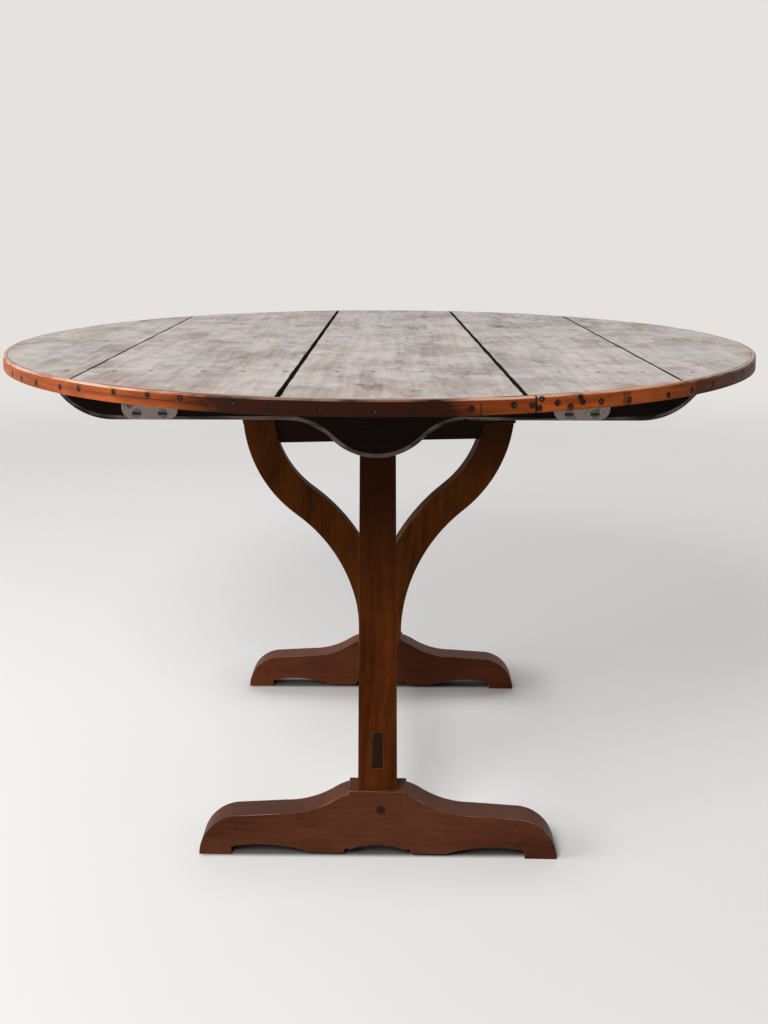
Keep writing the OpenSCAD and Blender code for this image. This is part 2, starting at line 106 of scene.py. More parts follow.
# a material, or the world, under construction
class Finish:
    def __init__(self, name, library=bpy.data.materials):
        self.material = library.new(name)
        self.material.use_nodes = True
        self.nodes = self.material.node_tree.nodes
        self.shader = self.nodes.get("Principled BSDF")
        self.coords = self.node("ShaderNodeTexCoord", {}, {}, "Object")

    def plug(self, socket, value):
        if isinstance(value, Wire):
            self.material.node_tree.links.new(value.socket, socket)
        elif socket.type == "RGBA":
            socket.default_value = (*value, 1.0)
        else:
            socket.default_value = value

    # among the settings, "stops" are the places and colours of a colour ramp
    def node(self, kind, settings, sockets, output=0):
        made = self.nodes.new(kind)
        for name, value in settings.items():
            if name == "stops":
                for k, (place, colour) in enumerate(value):
                    stop = made.color_ramp.elements[k] if k < 2 else made.color_ramp.elements.new(place)
                    stop.position = place
                    stop.color = (*colour, 1.0)
            else:
                setattr(made, name, value)
        for name, value in sockets.items():
            self.plug(made.inputs[name], value)
        return Wire(self, made.outputs[output])

    def stretched(self, scale, location=(0, 0, 0), turn=(0, 0, 0), source=None):
        return self.node("ShaderNodeMapping", {}, {"Vector": source or self.coords, "Location": location,
                                                   "Rotation": turn, "Scale": scale}, "Vector")

    def noise(self, vector, scale=1.0, detail=3.0, rough=0.5, output="Fac"):
        return self.node("ShaderNodeTexNoise", {}, {"Vector": vector, "Scale": scale, "Detail": detail,
                                                    "Roughness": rough}, output)

    # noise over a vector, finer along each axis by its scale
    def pattern(self, source, scale, detail=3.0, rough=0.5, shift=(0, 0, 0)):
        return self.noise(self.stretched(scale, shift, source=source), 1.0, detail, rough)

    # moves a vector by a coloured noise, so that straight patterns bend
    def bent(self, vector, scale, amount):
        push = self.noise(self.stretched(scale, source=vector), 1.0, 2.0, 0.5, "Color")
        return self.node("ShaderNodeVectorMath", {"operation": "MULTIPLY_ADD"},
                         {0: push, 1: (amount, amount, amount), 2: vector}, "Vector")

    def ramp(self, value, stops):
        return self.node("ShaderNodeValToRGB", {"stops": stops}, {"Fac": value}, "Color")

    def mix(self, share, first, second):
        return self.node("ShaderNodeMix", {"data_type": "RGBA"}, {0: share, 6: first, 7: second}, 2)

    def axis(self, name):
        return self.node("ShaderNodeSeparateXYZ", {}, {"Vector": self.coords}, name)

    def vector(self, x, y, z):
        return self.node("ShaderNodeCombineXYZ", {}, {"X": x, "Y": y, "Z": z}, "Vector")

    def length(self, vector):
        return self.node("ShaderNodeVectorMath", {"operation": "LENGTH"}, {0: vector}, "Value")

    def attribute(self, name):
        return self.node("ShaderNodeAttribute", {"attribute_name": name}, {}, "Fac")

    def bump(self, height, distance, strength):
        sockets = {"Height": height, "Distance": distance, "Strength": strength}
        self.plug(self.shader.inputs["Normal"], self.node("ShaderNodeBump", {}, sockets))

    def sockets(self, **values):
        for name, value in values.items():
            self.plug(self.shader.inputs[name.replace("_", " ")], value)


# Waxed wood: "along" is the grain's axis, "pith" is how far the tree's middle lies from the piece's own,
# and "figure" and "flecks" say how strong the broad stripes and the short dark pores are
woods = {
    # the foot's pale worn colour is partly a painted highlight along its arrises
    "foot": {"figure": 0.09, "along": "X", "dark": (0.022, 0.0065, 0.0034), "mid": (0.078, 0.0218, 0.0088),
             "pale": (0.140, 0.044, 0.017), "wornAndSheen": (0.46, 0.31, 0.24), "roughness": (0.34, 0.48),
             "polish": 0.04, "specular": 0.06, "flecks": 0.5, "rings": 6.0 * mm, "pith": (0.05, 0.09)},
    "post": {"figure": 0.26, "along": "Z", "dark": (0.019, 0.0046, 0.0009), "mid": (0.069, 0.0150, 0.0015),
             "pale": (0.125, 0.031, 0.0038), "wornAndSheen": (0.17, 0.072, 0.028), "roughness": (0.38, 0.52),
             "polish": 0.02, "specular": 0.03, "flecks": 0.25, "rings": 5.0 * mm, "pith": (0.04, 0.07)},
    # the rail wood is a darker copy, as painted shade, for the rails and beam set back under the top
    "rail": {"figure": 0.30, "along": "Y", "dark": (0.010, 0.0045, 0.0030), "mid": (0.024, 0.0095, 0.0052),
             "pale": (0.048, 0.020, 0.0105), "wornAndSheen": (0.09, 0.045, 0.03), "roughness": (0.44, 0.60),
             "polish": 0.01, "specular": 0.04, "flecks": 0.2, "rings": 5.0 * mm, "pith": (0.06, 0.05)},
    "lyre": {"figure": 0.22, "along": "Z", "dark": (0.030, 0.0088, 0.0014), "mid": (0.106, 0.0280, 0.0034),
             "pale": (0.190, 0.060, 0.0098), "wornAndSheen": (0.24, 0.115, 0.056), "roughness": (0.40, 0.54),
             "polish": 0.02, "specular": 0.03, "flecks": 0.6, "rings": 5.5 * mm, "pith": (0.08, 0.06)},
    # the batten wood is near-black as painted shade, for the battens under the top
    "batten": {"figure": 0.30, "along": "X", "dark": (0.005, 0.0024, 0.0018), "mid": (0.0105, 0.0048, 0.0034),
               "pale": (0.024, 0.0115, 0.0080), "wornAndSheen": (0.140, 0.096, 0.078), "roughness": (0.42, 0.58),
               "polish": 0.01, "specular": 0.03, "flecks": 0.2, "rings": 5.0 * mm, "pith": (0.07, 0.08)},
    "peg": {"figure": 0.30, "along": "Z", "dark": (0.009, 0.004, 0.0025), "mid": (0.024, 0.009, 0.005),
            "pale": (0.05, 0.021, 0.011), "wornAndSheen": (0.09, 0.045, 0.03), "roughness": (0.5, 0.65),
            "polish": 0.0, "specular": 0.12, "flecks": 0.2, "rings": 1.5 * mm, "pith": (0.0, 0.002)},
}
# the far foot is lighter and redder than the near one
woods["farFoot"] = dict(woods["foot"], dark=(0.038, 0.0100, 0.0040), mid=(0.112, 0.0300, 0.0110),
                        pale=(0.185, 0.0540, 0.0190))
grainTurns = {"X": (0, 0, 0), "Y": (0, 0, math.radians(90)), "Z": (0, math.radians(90), 0)}


# the darkening function takes the finish and gives the share by which the wood is darkened: a stain round the
# foot pegs, and painted shade on the uprights under the top
def woodFinish(name, look, shift=(0.0, 0.0, 0.0), stainAndShade=None):
    finish = Finish(name)
    # the mapping turns the grain to local X, where the patterns are drawn out
    place = finish.stretched((1, 1, 1), shift, grainTurns[look["along"]])
    bent = finish.bent(place, (2.2, 8, 8), 0.022)
    core = finish.stretched((0.05, 1, 1), (0, *look["pith"]), source=bent)
    turns = finish.length(core) * (math.tau / look["rings"])
    rings = turns.maths("SINE", turns)
    figure = finish.pattern(bent, (4.5, 55, 55), 4.0, 0.55)
    grain = finish.pattern(bent, (34, 520, 520), 3.0, 0.6)
    cloud = finish.pattern(place, (5, 12, 12), 4.0, 0.6)
    fleck = finish.pattern(bent, (110, 330, 330), 2.0).between(0.56, 0.72)
    tone = 0.56 + (figure - 0.5) * look["figure"] + (grain - 0.5) * 0.2 + (cloud - 0.5) * 0.42
    tone = tone + rings * (0.1 * look["figure"]) - fleck * (0.12 * look["flecks"])
    colour = finish.ramp(tone, [(0.40, look["dark"]), (0.57, look["mid"]), (0.80, look["pale"])])
    colour = finish.mix(finish.attribute("endGrain") * 0.55, colour, look["dark"])
    # the stain round the foot pegs, and painted shade on the uprights under the top
    if stainAndShade:
        colour = finish.mix(stainAndShade(finish), colour, look["dark"])
    rubbed = finish.pattern(place, (16, 80, 80))
    wear = finish.attribute("wear") * rubbed.between(0.34, 0.66)
    # the pale worn colour on the arrises is wear, and on the feet and band partly a painted highlight, and on
    # the batten chamfers a painted reflection of the floor
    colour = finish.mix(wear * 0.85, colour, look["wornAndSheen"])
    low, high = look["roughness"]
    finish.sockets(Base_Color=colour, Roughness=low + (high - low) * cloud + grain * 0.08 - wear * 0.08,
                   Coat_Weight=look["polish"] * cloud * 2.0 + wear * 0.25, Coat_Roughness=0.22,
                   Specular_IOR_Level=look["specular"])
    finish.bump(figure * 0.3 + grain * 0.5 + rings * 0.12 - fleck * 0.3, 0.0003, 0.6)
    return finish


# Plank top: grey-brown boards, waxed, wiped and stained. "tone" lightens or darkens each board,
# and a scribed line runs along part of the middle one.
planks = {"dark": (0.048, 0.028, 0.020), "mid": (0.120, 0.074, 0.053), "pale": (0.215, 0.146, 0.112),
          "stain": (0.040, 0.022, 0.014), "iron": (0.004, 0.003, 0.003), "edge": (0.012, 0.007, 0.005),
          "rim": (0.20, 0.105, 0.062), "tone": (-0.01, 0.01, 0.02, -0.01, -0.02), "specular": 0.15,
          "rimAt": (545 * mm, 588 * mm), "scribeBoard": 2, "scribeX": (-4 * mm, 153 * mm),
          "scribeY": -373.5 * mm, "scribeHalf": 0.5 * mm, "scribeWobble": 1.6 * mm}


def plankFinish(index):
    finish = Finish("plankWood%d" % (index + 1))
    place = finish.stretched((1, 1, 1), (0.31 * index, 1.7 * index, 0), (0, 0, math.radians(90)))
    bent = finish.bent(place, (2.0, 5, 5), 0.055)
    figure = finish.pattern(bent, (1.4, 26, 26), 5.0, 0.6)
    streak = finish.pattern(bent, (3.2, 95, 95), 4.0, 0.6)
    grain = finish.pattern(bent, (14, 420, 420), 3.0, 0.6)
    cloud = finish.pattern(bent, (4.2, 8, 8), 6.0, 0.62)
    smear = finish.pattern(bent, (5.5, 15, 15), 6.0, 0.68, (3.1, 0.4, 0))
    patch = finish.pattern(place, (2.6, 3.6, 3.6), 2.0).between(0.38, 0.60)
    stain = smear.between(0.53, 0.68) * patch
    spots = finish.pattern(bent, (26, 60, 60), 4.0, 0.6).between(0.63, 0.72)
    tone = figure * 0.35 + streak * 0.22 + grain * 0.12 + cloud * 0.45 + planks["tone"][index]
    colour = finish.ramp(tone, [(0.44, planks["dark"]), (0.57, planks["mid"]), (0.72, planks["pale"])])
    colour = finish.mix(stain * 0.8, colour, planks["stain"])
    colour = finish.mix(spots * 0.6, colour, planks["stain"])
    x, y = finish.axis("X"), finish.axis("Y")
    radius = finish.length(finish.vector(x, y, 0.0))
    rim = radius.between(*planks["rimAt"]) * cloud.between(0.36, 0.62)
    colour = finish.mix(rim * 0.6, colour, planks["rim"])
    # black round the nails and down the joint faces, and dark along the arrises
    black = finish.attribute("stain").most(finish.attribute("wall"))
    wear = finish.attribute("wear")
    colour = finish.mix(black, colour, planks["iron"])
    colour = finish.mix(wear * 0.8, colour, planks["edge"])
    # the wax is wiped to a haze, and worn off where the wood is stained
    wiped = finish.pattern(bent, (8.5, 9.5, 9.5), 6.0, 0.66, (0.7, 2.2, 0))
    swirl = finish.pattern(bent, (34, 40, 40), 5.0, 0.66)
    haze = wiped.between(0.40, 0.57) * 0.46 + swirl.between(0.40, 0.60) * 0.26
    haze = haze + streak.between(0.38, 0.60) * 0.15
    wax = haze + 0.29 - stain * 0.56 - spots * 0.34 - black * 1.2 - rim * 0.16 - wear * 0.8
    relief = figure * 0.5 + grain * 0.5 + smear * 0.4
    if index == planks["scribeBoard"]:
        wobble = (finish.noise(finish.vector(x * 30, 0.0, 0.0), 1.0, 2.0) - 0.5) * planks["scribeWobble"]
        line = (y + wobble - planks["scribeY"]).size() < planks["scribeHalf"]
        line = line * x.within(*planks["scribeX"])
        colour = finish.mix(line * 0.7, colour, planks["iron"])
        wax = wax - line * 0.3
        relief = relief - line * 0.8
    finish.sockets(Base_Color=colour, Roughness=0.44 + 0.2 * cloud, Coat_Weight=wax, Coat_Roughness=0.36,
                   Specular_IOR_Level=planks["specular"])
    finish.bump(relief, 0.0005, 0.45)
    return finish


# Varnished strip: the pattern runs round the edge on its angle, in degrees, and its height. It is painted
# dark as painted shade round the "shade" (its middle, and where it starts and ends to fade), brightest right
# of the butt joint, and dimmer towards the right end; its left end is lightened as painted light. A hairline
# crack crosses it, and a split runs along it on the left.
band = {"dark": (0.019, 0.0042, 0.0010), "mid": (0.20, 0.040, 0.0058), "pale": (0.47, 0.108, 0.022),
        "wornAndSheen": (0.58, 0.30, 0.19), "stain": (0.008, 0.005, 0.004), "roof": (0.17, 0.105, 0.078),
        "perDegree": 10.4 * mm, "shade": (-93.0, 12.0, 23.0), "brightTo": -47.5, "seam": (-60.4, -59.2),
        "dimRight": (250 * mm, 560 * mm), "paintedLightLeftAt": (200 * mm, 450 * mm), "wobble": 2.2 * mm,
        "jointAngle": -72.0, "jointHalf": 0.11, "crackAngle": -78.4, "crackHalf": 0.06, "crackTop": 722 * mm,
        "split": (-122.0, -113.0), "splitHeight": 717.5 * mm, "splitHalf": 0.35 * mm, "roofIn": 2.4 * mm,
        "roofDown": 3 * mm}


def bandFinish():
    finish = Finish("bandWood")
    x, y, z = finish.axis("X"), finish.axis("Y"), finish.axis("Z")
    angle = finish.node("ShaderNodeMath", {"operation": "ARCTAN2"}, {0: y, 1: x}) * (180 / math.pi)
    radius = finish.length(finish.vector(x, y, 0.0))
    flow = finish.vector(angle * band["perDegree"], z, radius)
    figure = finish.pattern(flow, (7, 150, 150), 4.0, 0.6)
    grain = finish.pattern(flow, (60, 900, 900), 3.0, 0.6)
    cloud = finish.pattern(flow, (9, 14, 14), 4.0, 0.6)
    middle, core, fade = band["shade"]
    offset = angle - middle
    # painted shade over the middle of the strip
    shade = 1 - (offset * (1 + (offset > 0.0) * 0.5)).size().between(core, fade)
    bright = angle.within(band["jointAngle"], band["brightTo"])
    seam = angle.within(*band["seam"])
    rightDim = x.between(*band["dimRight"])
    # painted light: the left end is lightened
    paintedLeftLight = (0.0 - x).between(*band["paintedLightLeftAt"])
    tone = figure * 0.36 + grain * 0.12 + cloud * 0.38 - shade * 0.26 + bright * 0.09 - seam * 0.11 + 0.05
    tone = tone - rightDim * 0.14 + paintedLeftLight * 0.03
    colour = finish.ramp(tone, [(0.30, band["dark"]), (0.50, band["mid"]), (0.70, band["pale"])])
    wobble = (finish.pattern(flow, (25, 25, 25)) - 0.5) * band["wobble"]
    crack = ((angle + wobble * 120 - band["crackAngle"]).size() < band["crackHalf"]) * (z < band["crackTop"])
    split = (z + wobble - band["splitHeight"]).size() < band["splitHalf"]
    split = split * angle.within(*band["split"])
    joint = (angle + wobble * 60 - band["jointAngle"]).size() < band["jointHalf"]
    flaw = crack.most(split).most(joint)
    near = finish.attribute("stain")
    rubbed = finish.pattern(flow, (22, 90, 90))
    # the pale worn top arris is wear and a painted highlight; it fades in the painted shade and towards the
    # right end
    wear = finish.attribute("wear") * rubbed.between(0.26, 0.60) * (1 - shade * 0.75) * (1 - rightDim * 0.7)
    # the upper face, which lies beside the boards
    roof = (radius < topRadius - band["roofIn"]) * (z > topZ - band["roofDown"])
    colour = finish.mix(roof, colour, band["roof"])
    colour = finish.mix(wear * 0.85, colour, band["wornAndSheen"])
    colour = finish.mix(near, colour, band["stain"])
    colour = finish.mix(flaw, colour, band["stain"])
    varnish = ((0.02 + 0.06 * cloud) * (1 - rightDim) + paintedLeftLight * 0.07) * (1 - near)
    finish.sockets(Base_Color=colour, Roughness=0.34 + 0.2 * cloud + near * 0.2, Coat_Roughness=0.24,
                   Coat_Weight=varnish + roof * 0.5 + wear * 0.3, Specular_IOR_Level=0.05)
    finish.bump(figure * 0.4 + grain * 0.4 - flaw * 1.4, 0.0004, 0.6)
    return finish


# Iron and steel: clouds of rust and bright specks over the base colour
metals = {
    "nail": {"base": (0.012, 0.0115, 0.012), "rust": (0.022, 0.011, 0.006), "shine": (0.34, 0.35, 0.36),
             "metallic": 0.85, "roughness": (0.22, 0.46), "specular": 0.5},
    "topNail": {"base": (0.010, 0.009, 0.008), "rust": (0.014, 0.009, 0.007), "shine": (0.035, 0.032, 0.03),
                "metallic": 0.0, "roughness": (0.6, 0.8), "specular": 0.08},
    "plate": {"base": (0.25, 0.215, 0.19), "rust": (0.07, 0.048, 0.036), "shine": (0.52, 0.48, 0.45),
              "metallic": 0.45, "roughness": (0.36, 0.56), "specular": 0.4},
    "screw": {"base": (0.15, 0.128, 0.113), "rust": (0.04, 0.028, 0.022), "shine": (0.30, 0.27, 0.25),
              "metallic": 0.4, "roughness": (0.4, 0.6), "specular": 0.3},
}


def ironFinish(name, look):
    finish = Finish(name)
    cloud = finish.noise(finish.coords, 55.0, 4.0, 0.6)
    speck = finish.noise(finish.stretched((1, 1, 1), (2, 5, 1)), 420.0, 3.0, 0.6)
    colour = finish.mix(cloud.between(0.52, 0.68), look["base"], look["rust"])
    colour = finish.mix(speck.between(0.52, 0.7) * 0.5, colour, look["shine"])
    # darkened slots: dirt, and painted shade in the recess
    colour = finish.mix(finish.attribute("dirt"), colour, metals["nail"]["base"])
    low, high = look["roughness"]
    finish.sockets(Base_Color=colour, Metallic=look["metallic"] * (1 - 0.6 * cloud.between(0.55, 0.7)),
                   Roughness=low + (high - low) * speck, Specular_IOR_Level=look["specular"])
    finish.bump(cloud * 0.7 + speck * 0.3, 0.0003, 0.7)
    return finish


def activate(piece):
    bpy.ops.object.select_all(action="DESELECT")
    piece.select_set(True)
    bpy.context.view_layer.objects.active = piece


def applyModifier(piece, kind, **settings):
    activate(piece)
    modifier = piece.modifiers.new(kind.title(), kind)
    for name, value in settings.items():
        setattr(modifier, name, value)
    bpy.ops.object.modifier_apply(modifier=modifier.name)


def newObject(name, data):
    made = bpy.data.objects.new(name, data)
    bpy.context.scene.collection.objects.link(made)
    return made


def editMode():
    bpy.ops.object.mode_set(mode="EDIT")


def objectMode():
    bpy.ops.object.mode_set(mode="OBJECT")


def selectAll():
    bpy.ops.mesh.select_all(action="SELECT")


def mergePoints(distance=0.01 * mm):
    selectAll()
    bpy.ops.mesh.remove_doubles(threshold=distance)


# selects the parts of the mesh in edit mode that the test accepts: its "verts", "edges" or "faces"
def selectParts(piece, kind, wanted):
    bpy.ops.mesh.select_mode(type={"verts": "VERT", "edges": "EDGE", "faces": "FACE"}[kind])
    bpy.ops.mesh.select_all(action="DESELECT")
    mesh = bmesh.from_edit_mesh(piece.data)
    for part in getattr(mesh, kind):
        if wanted(part):
            part.select_set(True)
    bmesh.update_edit_mesh(piece.data)


# a copy of a node's mesh, with its loose triangles merged to whole faces
def copiedNode(name, newName):
    piece = newObject(newName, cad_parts[name].data.copy())
    piece.data.materials.clear()
    activate(piece)
    editMode()
    mergePoints()
    bpy.ops.mesh.dissolve_limited(angle_limit=math.radians(0.4))
    objectMode()
    return piece


# an upright board about the XZ plane: each column has its x, its low and its high edge
def makeUpright(name, columns, thickness):
    last = len(columns) - 1
    bpy.ops.mesh.primitive_grid_add(x_subdivisions=last, y_subdivisions=1, size=1, location=(0, 0, 0))
    piece = bpy.context.object
    piece.name = name
    for vertex in piece.data.vertices:
        x, low, high = columns[round((vertex.co.x + 0.5) * last)]
        vertex.co = (x, -thickness / 2, high if vertex.co.y > 0 else low)
    editMode()
    selectAll()
    bpy.ops.mesh.extrude_region_move(TRANSFORM_OT_translate={"value": (0, thickness, 0)})
    mergePoints()
    bpy.ops.mesh.normals_make_consistent(inside=False)
    bpy.ops.mesh.dissolve_limited(angle_limit=math.radians(0.4))
    objectMode()
    return piece


# turns a piece about Z, places it, and applies both to its mesh
def settle(piece, place, turn=0.0):
    activate(piece)
    piece.location = place
    piece.rotation_euler = (0, 0, math.radians(turn))
    bpy.ops.object.transform_apply(location=True, rotation=True, scale=True)


# gives a finished piece its material and body, and lets it stand for its nodes
def dress(piece, finish, body, slotName, *nodes):
    if not piece.data.materials:
        piece.data.materials.append(finish.material)
    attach(piece, body)
    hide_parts(*nodes)


def addAttribute(piece, name, values, domain="POINT"):
    attribute = piece.data.attributes.new(name, "FLOAT", domain)
    attribute.data.foreach_set("value", values)


def smoothed(piece, angle=35):
    activate(piece)
    bpy.ops.object.shade_smooth_by_angle(angle=math.radians(angle))
    applyModifier(piece, "WEIGHTED_NORMAL", keep_sharp=True)


# rounds the arrises, and keeps where they are as the attribute "wear";
# the bevel marks its new faces with a second material slot, which is then taken off
def roundedArrises(piece, finish, width, steps=3, sharp=32):
    for _ in range(2):
        piece.data.materials.append(finish.material)
    for face in piece.data.polygons:
        face.material_index = 0
    applyModifier(piece, "BEVEL", width=width, segments=steps, limit_method="ANGLE",
                  angle_limit=math.radians(sharp), material=1, miter_outer="MITER_ARC")
    flat = set()
    for face in piece.data.polygons:
        if face.material_index == 0:
            flat.update(face.vertices)
    addAttribute(piece, "wear", [0.0 if k in flat else 1.0 for k in range(len(piece.data.vertices))])
    for face in piece.data.polygons:
        face.material_index = 0
    piece.data.materials.pop(index=1)
    smoothed(piece)


# marks the faces that cut across the grain as the attribute "endGrain"
def markEndGrain(piece, along):
    grain = Vector([1.0 if along == name else 0.0 for name in "XYZ"])
    shares = [min(1.0, max(0.0, (abs(face.normal.dot(grain)) - 0.6) / 0.35)) for face in piece.data.polygons]
    addAttribute(piece, "endGrain", shares, "FACE")


# corner points of a node's separate solids
def solidsOf(name):
    mesh = bmesh.new()
    mesh.from_mesh(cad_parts[name].data)
    bmesh.ops.remove_doubles(mesh, verts=mesh.verts, dist=0.01 * mm)
    left = set(mesh.verts)
    groups = []
    while left:
        ring = [left.pop()]
        group = []
        while ring:
            vertex = ring.pop()
            group.append(vertex.co.copy())
            for edge in vertex.link_edges:
                other = edge.other_vert(vertex)
                if other in left:
                    left.remove(other)
                    ring.append(other)
        groups.append(group)
    mesh.free()
    return sorted(groups, key=lambda group: tuple(round(v, 6) for v in min(group)))


topNails = [Vector((sum(p.x for p in g) / len(g), sum(p.y for p in g) / len(g), max(p.z for p in g)))
            for g in solidsOf("top_nails")]
bandNails = []
for group in solidsOf("band_nails"):
    reach = max(math.hypot(p.x, p.y) for p in group)
    outer = [p for p in group if math.hypot(p.x, p.y) > reach - 1 * mm]
    bandNails.append(sum(outer, Vector()) / len(outer))
print("nails:", len(topNails), "top,", len(bandNails), "band")


def treeOf(points):
    tree = kdtree.KDTree(len(points))
    for k, point in enumerate(points):
        tree.insert(point, k)
    tree.balance()
    return tree


# splits the faces round the nails, where the surface needs finer points
def subdivideNear(piece, tree, reach, cuts):
    editMode()
    selectParts(piece, "faces", lambda face: tree.find(face.calc_center_median())[2] < reach)
    bpy.ops.mesh.subdivide(number_cuts=cuts)
    objectMode()


def joinPieces(name, pieces):
    bpy.ops.object.select_all(action="DESELECT")
    for piece in pieces:
        piece.select_set(True)
    bpy.context.view_layer.objects.active = pieces[0]
    bpy.ops.object.join()
    joined = bpy.context.object
    bpy.ops.object.transform_apply(location=True, rotation=True, scale=True)
    joined.name = name
    return joined


# Boards: finer cells and a dimple round each nail, and joints that wander a little
boardLook = {"cell": 4.4 * mm, "arris": 0.9 * mm, "dimple": 0.8 * mm, "dimpleRadius": 4.0 * mm,
             "stainRadius": 4.6 * mm, "finer": 8 * mm, "wave": 0.22 * mm, "edgeWander": 0.55 * mm}
boardNames = ["board_%d" % k for k in range(1, 6)]


# near and far end of the upper edge of the joint face on one side of a board
def jointLine(name, side):
    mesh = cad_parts[name].data
    corners = [mesh.vertices[k].co.copy() for face in mesh.polygons if face.normal.x * side > 0.999
               for k in face.vertices]
    ends = [p for p in corners if p.z > topZ - 0.01 * mm]
    return min(ends, key=lambda p: p.y), max(ends, key=lambda p: p.y)


# an uneven wave between about -1 and 1
def wander(value, seed):
    return (math.sin(23 * value + seed) + 0.6 * math.sin(57 * value + 2.3 * seed)
            + 0.4 * math.sin(131 * value + seed)) / 2


# X at depth y of the line through two points
def onLine(line, y):
    near, far = line
    return near.x + (far.x - near.x) * (y - near.y) / (far.y - near.y)


# a sheet of cells between the board's two joint lines, cut to the round edge and given its thickness
def makeBoard(index, name):
    low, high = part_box(name)
    cell = boardLook["cell"]
    lines = {side: jointLine(name, side) for side, outermost in ((-1, 0), (1, 4)) if index != outermost}
    # the outermost boards have no joint on their round side, so their cells start beyond it
    beyond = {-1: low.x - cell, 1: high.x + cell}
    left, right = (lines.get(side) or (Vector((beyond[side], -1, 0)), Vector((beyond[side], 1, 0)))
                   for side in (-1, 1))
    bpy.ops.mesh.primitive_grid_add(x_subdivisions=round((high.x - low.x) / cell), size=1,
                                    y_subdivisions=round((high.y - low.y) / cell), location=(0, 0, 0))
    board = bpy.context.object
    board.name = name + "_plank"
    for vertex in board.data.vertices:
        y = (low.y - cell) + (vertex.co.y + 0.5) * (high.y - low.y + 2 * cell)
        share = vertex.co.x + 0.5
        vertex.co = (onLine(left, y) * (1 - share) + onLine(right, y) * share, y, topZ)
    outside = boardRadius - 0.35 * cell
    editMode()
    selectParts(board, "faces", lambda face: all(math.hypot(v.co.x, v.co.y) > outside for v in face.verts))
    bpy.ops.mesh.delete(type="FACE")
    objectMode()
    for vertex in board.data.vertices:
        seatOnRim(vertex, lines, outside)
    editMode()
    mergePoints(0.3 * cell)
    bpy.ops.mesh.extrude_region_move(TRANSFORM_OT_translate={"value": (0, 0, underZ - topZ)})
    selectParts(board, "faces", lambda face: face.calc_center_median().z < underZ + 0.1 * mm)
    bpy.ops.mesh.dissolve_faces()
    selectAll()
    bpy.ops.mesh.normals_make_consistent(inside=False)
    objectMode()
    return board, lines


# draws a point beyond the round edge back onto it: along its joint line, or towards the middle
def seatOnRim(vertex, lines, outside):
    p = vertex.co
    if math.hypot(p.x, p.y) <= outside:
        return
    for line in lines.values():
        if abs(p.x - onLine(line, p.y)) < 0.05 * mm:
            for _ in range(3):
                p.y = math.copysign(math.sqrt(boardRadius ** 2 - p.x ** 2), p.y)
                p.x = onLine(line, p.y)
            return
    scale = boardRadius / math.hypot(p.x, p.y)
    p.x *= scale
    p.y *= scale


# dimples the upper face at the nails, makes it a little wavy, and lets the joints wander
def shapeBoard(index, board, lines, tree):
    stains = []
    for vertex in board.data.vertices:
        p = vertex.co
        away = tree.find((p.x, p.y, topZ))[2]
        stain = 0.0
        if p.z > topZ - 1 * mm:
            stain = min(1.0, 1.8 * max(0.0, 1 - away / boardLook["stainRadius"]))
            p.z -= boardLook["dimple"] * max(0.0, 1 - away / boardLook["dimpleRadius"]) ** 2
            p.z += boardLook["wave"] * (wander(p.x * 1.3 + p.y * 0.5, index) - 1) * 0.5
        stains.append(stain)
        for side, line in lines.items():
            if abs(p.x - onLine(line, p.y)) < 0.1 * mm:
                p.x -= side * boardLook["edgeWander"] * (1 + wander(p.y * 1.7, index * 3 + side))
    addAttribute(board, "stain", stains)


def dressBoards():
    tree = treeOf(topNails)
    for index, name in enumerate(boardNames):
        board, lines = makeBoard(index, name)
        subdivideNear(board, tree, boardLook["finer"], 3)
        shapeBoard(index, board, lines, tree)
        finish = plankFinish(index)
        roundedArrises(board, finish, boardLook["arris"], 2, 50)
        walls = [1.0 if abs(face.normal.z) < 0.5 else 0.0 for face in board.data.polygons]
        addAttribute(board, "wall", walls, "FACE")
        dress(board, finish, "top", "board_wood", name)
        print(name, len(board.data.polygons), "faces")


dressBoards()

# Edge band: its section is spun round from one side of the butt joint to the other
bandLook = {"thickness": 5.9 * mm, "topArris": 2.2 * mm, "lowArris": 0.9 * mm, "rise": 0.4 * mm,
            "gap": 1.2 * mm, "steps": 1000, "heightCuts": 8, "dimple": 0.9 * mm, "dimpleRadius": 4.0 * mm,
            "stainRadius": 5.2 * mm, "finer": 7 * mm, "wave": 0.35 * mm}
# Nails beside the band's butt joint: degrees from the joint and height above the band's middle
jointNails = [(-0.42, -1.0 * mm), (0.42, -4.6 * mm), (0.7, 6.0 * mm), (5.6, 5.0 * mm), (5.9, -0.8 * mm),
              (4.3, -5.4 * mm)]


# rounds one corner of the section, found by its height
def roundCorner(strip, height, width, steps):
    selectParts(strip, "verts", lambda v: v.co.x > topRadius - 0.1 * mm and abs(v.co.z - height) < 0.1 * mm)
    bpy.ops.mesh.bevel(offset=width, segments=steps, affect="VERTICES")


def makeBand():
    bpy.ops.mesh.primitive_grid_add(x_subdivisions=2, y_subdivisions=bandLook["heightCuts"], size=1,
                                    location=(topRadius - bandLook["thickness"] / 2, 0, (topZ + underZ) / 2),
                                    rotation=(math.radians(90), 0, 0))
    strip = bpy.context.object
    strip.name = "edge_band_strip"
    strip.scale = (bandLook["thickness"], topZ - underZ, 1)
    bpy.ops.object.transform_apply(location=True, rotation=True, scale=True)
    start = math.radians(band["jointAngle"]) + bandLook["gap"] / 2 / topRadius
    activate(strip)
    editMode()
    roundCorner(strip, topZ, bandLook["topArris"], 4)
    roundCorner(strip, underZ, bandLook["lowArris"], 2)
    selectAll()
    bpy.ops.transform.rotate(value=-start, orient_axis="Z", center_override=(0, 0, 0))
    bpy.ops.mesh.spin(steps=bandLook["steps"], angle=2 * math.pi - bandLook["gap"] / topRadius,
                      center=(0, 0, 0), axis=(0, 0, 1))
    mergePoints()
    bpy.ops.mesh.normals_make_consistent(inside=False)
    objectMode()
    return strip


